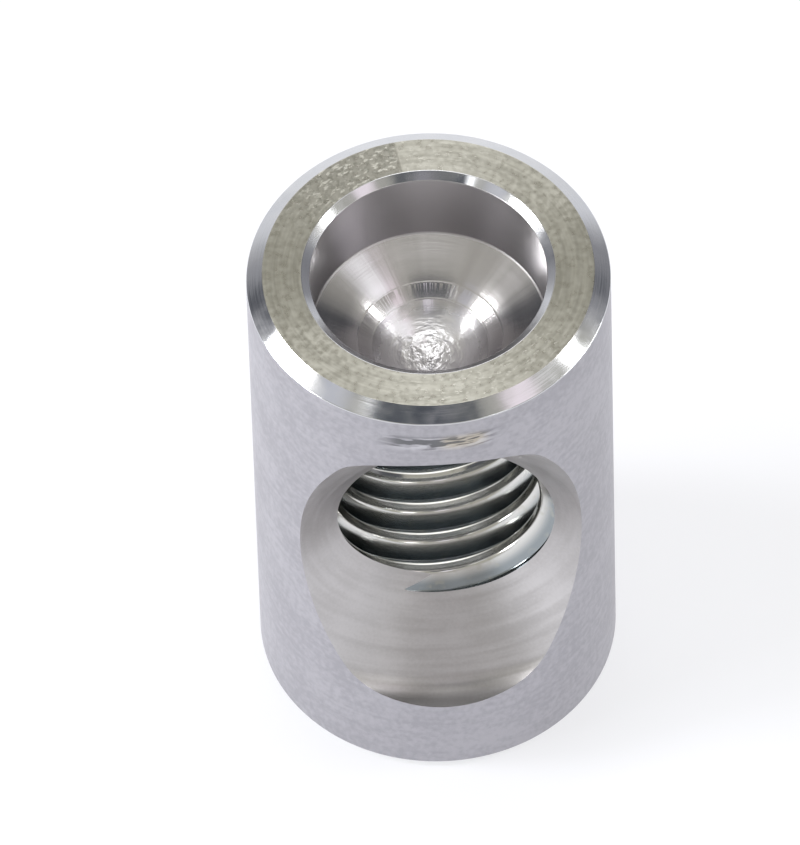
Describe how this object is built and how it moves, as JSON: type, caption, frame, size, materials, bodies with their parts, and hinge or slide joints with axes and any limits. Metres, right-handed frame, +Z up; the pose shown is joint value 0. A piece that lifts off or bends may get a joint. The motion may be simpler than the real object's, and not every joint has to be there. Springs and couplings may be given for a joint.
{
  "type": "cross dowel nut",
  "caption": "Turned steel barrel nut with a threaded cross hole, a wide conical mouth that guides the bolt in, and a drilled recess in its upper end.",
  "frame": {"origin": "centre of the lower end face, which the nut stands on", "axes": "+Z up the barrel's axis to the end with the recess, -Y out of the wide mouth of the threaded cross hole, towards the bolt's head"},
  "size_m": [0.012, 0.012, 0.0196],
  "materials": {
    "steel": "satin turned steel with polished bevels and visible tool marks"
  },
  "bodies": {
    "root": {"cross_dowel_nut": "steel"}
  },
  "joints": []
}
